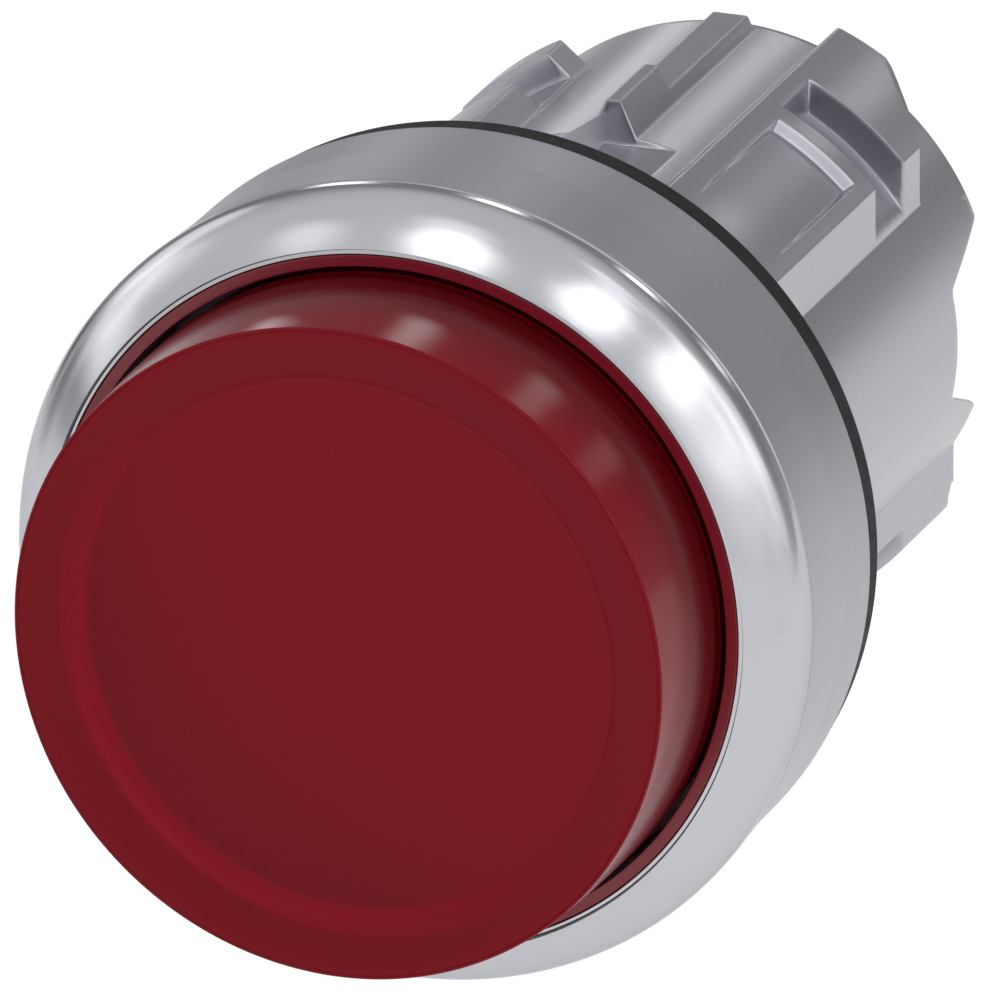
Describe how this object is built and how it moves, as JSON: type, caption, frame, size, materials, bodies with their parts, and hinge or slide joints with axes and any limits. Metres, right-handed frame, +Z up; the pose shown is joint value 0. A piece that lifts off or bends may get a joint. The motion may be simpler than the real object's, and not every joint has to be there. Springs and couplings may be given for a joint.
{
  "type": "industrial push button",
  "caption": "Raised round red illuminated push button for a 22 mm panel hole: chrome bezel, satin die-cast barrel with key rib and latch pads, spring-return travel.",
  "frame": {"origin": "on the button's axis, in the panel's front plane, which is the rear face of the panel gasket", "axes": "the front of the button faces -Y and the barrel runs back along +Y through the panel; +Z is up, towards the key rib at 12 o'clock; +X is right as seen from the front"},
  "size_m": [0.0296, 0.0408, 0.0296],
  "materials": {
    "cast_metal": "satin die-cast metal with a fine matt grain",
    "chrome": "polished, slightly soft reflections",
    "red_lens": "moulded translucent red plastic, satin",
    "black_rubber": "matt black rubber",
    "black_plastic": "matt black moulded plastic",
    "white_acetal": "smooth off-white acetal",
    "opal_plastic": "milky white light-spreading plastic",
    "clear_plastic": "clear polished plastic",
    "spring_steel": "bright drawn spring steel"
  },
  "bodies": {
    "base": {"housing": "cast_metal", "bezel_ring": "chrome", "lens_collar": "red_lens", "bezel_seal": "black_rubber", "panel_gasket": "black_rubber", "stop_ring": "black_rubber", "wiper_seal": "black_rubber", "front_bush": "black_plastic", "spring_washer": "spring_steel", "rear_bush": "black_plastic", "retaining_ring": "spring_steel", "return_spring": "spring_steel"},
    "button": {"lens_cap": "red_lens", "legend_disc": "opal_plastic", "diffuser_disc": "opal_plastic", "lens_seal": "black_rubber", "button_carrier": "white_acetal", "carrier_clip": "spring_steel", "light_guide": "clear_plastic", "plunger": "white_acetal", "pusher_ring": "black_plastic"}
  },
  "joints": [
    {"name": "button_press", "type": "slide", "parent": "base", "child": "button", "axis": [0, 1, 0], "range_m": [0, 0.004], "stiffness_N_per_m": 500, "springref_m": -0.006, "deforming": ["return_spring"]}
  ]
}
